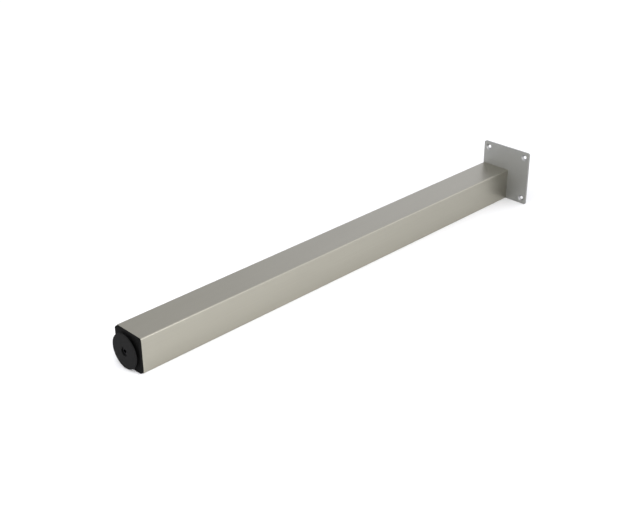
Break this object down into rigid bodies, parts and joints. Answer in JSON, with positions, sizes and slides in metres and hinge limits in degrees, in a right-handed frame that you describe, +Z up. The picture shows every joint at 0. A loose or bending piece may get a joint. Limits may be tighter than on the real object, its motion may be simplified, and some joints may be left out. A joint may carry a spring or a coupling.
{
  "type": "square metal table leg",
  "caption": "Square brushed steel tube table leg with an off-centre welded mounting plate at the top and a black plastic cap with a round screw-adjusted levelling foot.",
  "frame": {"origin": "centre of the mounting plate's outer face, which goes against the table's underside", "axes": "+X out of the mounting face with the foot at -X; +Z up as the leg lies at rest on its lower face; +Y to the back edge of the plate, with which the tube is flush"},
  "size_m": [0.75, 0.088, 0.088],
  "materials": {
    "brushed_steel_tube": "fine brushed along the length, satin",
    "satin_steel_plate": "satin",
    "black_plastic_cap": "fine matt grain",
    "black_plastic_foot": "fine matt grain",
    "zinc_plated_steel": "bright zinc plating",
    "blackened_steel": "blackened, slightly oily"
  },
  "bodies": {
    "leg": {"leg_tube": "brushed_steel_tube", "mounting_plate": "satin_steel_plate", "end_cap": "black_plastic_cap", "thread_nut": "zinc_plated_steel"},
    "foot": {"foot_disc": "black_plastic_foot"},
    "stud": {"levelling_stud": "blackened_steel"}
  },
  "joints": [
    {"name": "foot_travel", "type": "slide", "parent": "leg", "child": "foot", "axis": [-1, 0, 0], "range_m": [0, 0.015]},
    {"name": "stud_spin", "type": "hinge", "parent": "foot", "child": "stud", "pos_m": [-0.7485, 0.019, -0.019], "axis": [-1, 0, 0], "range_deg": [0, 4320]}
  ],
  "couplings": [
    {"joint": "foot_travel", "follows": "stud_spin", "m_per_rad": 0.00019894}
  ]
}
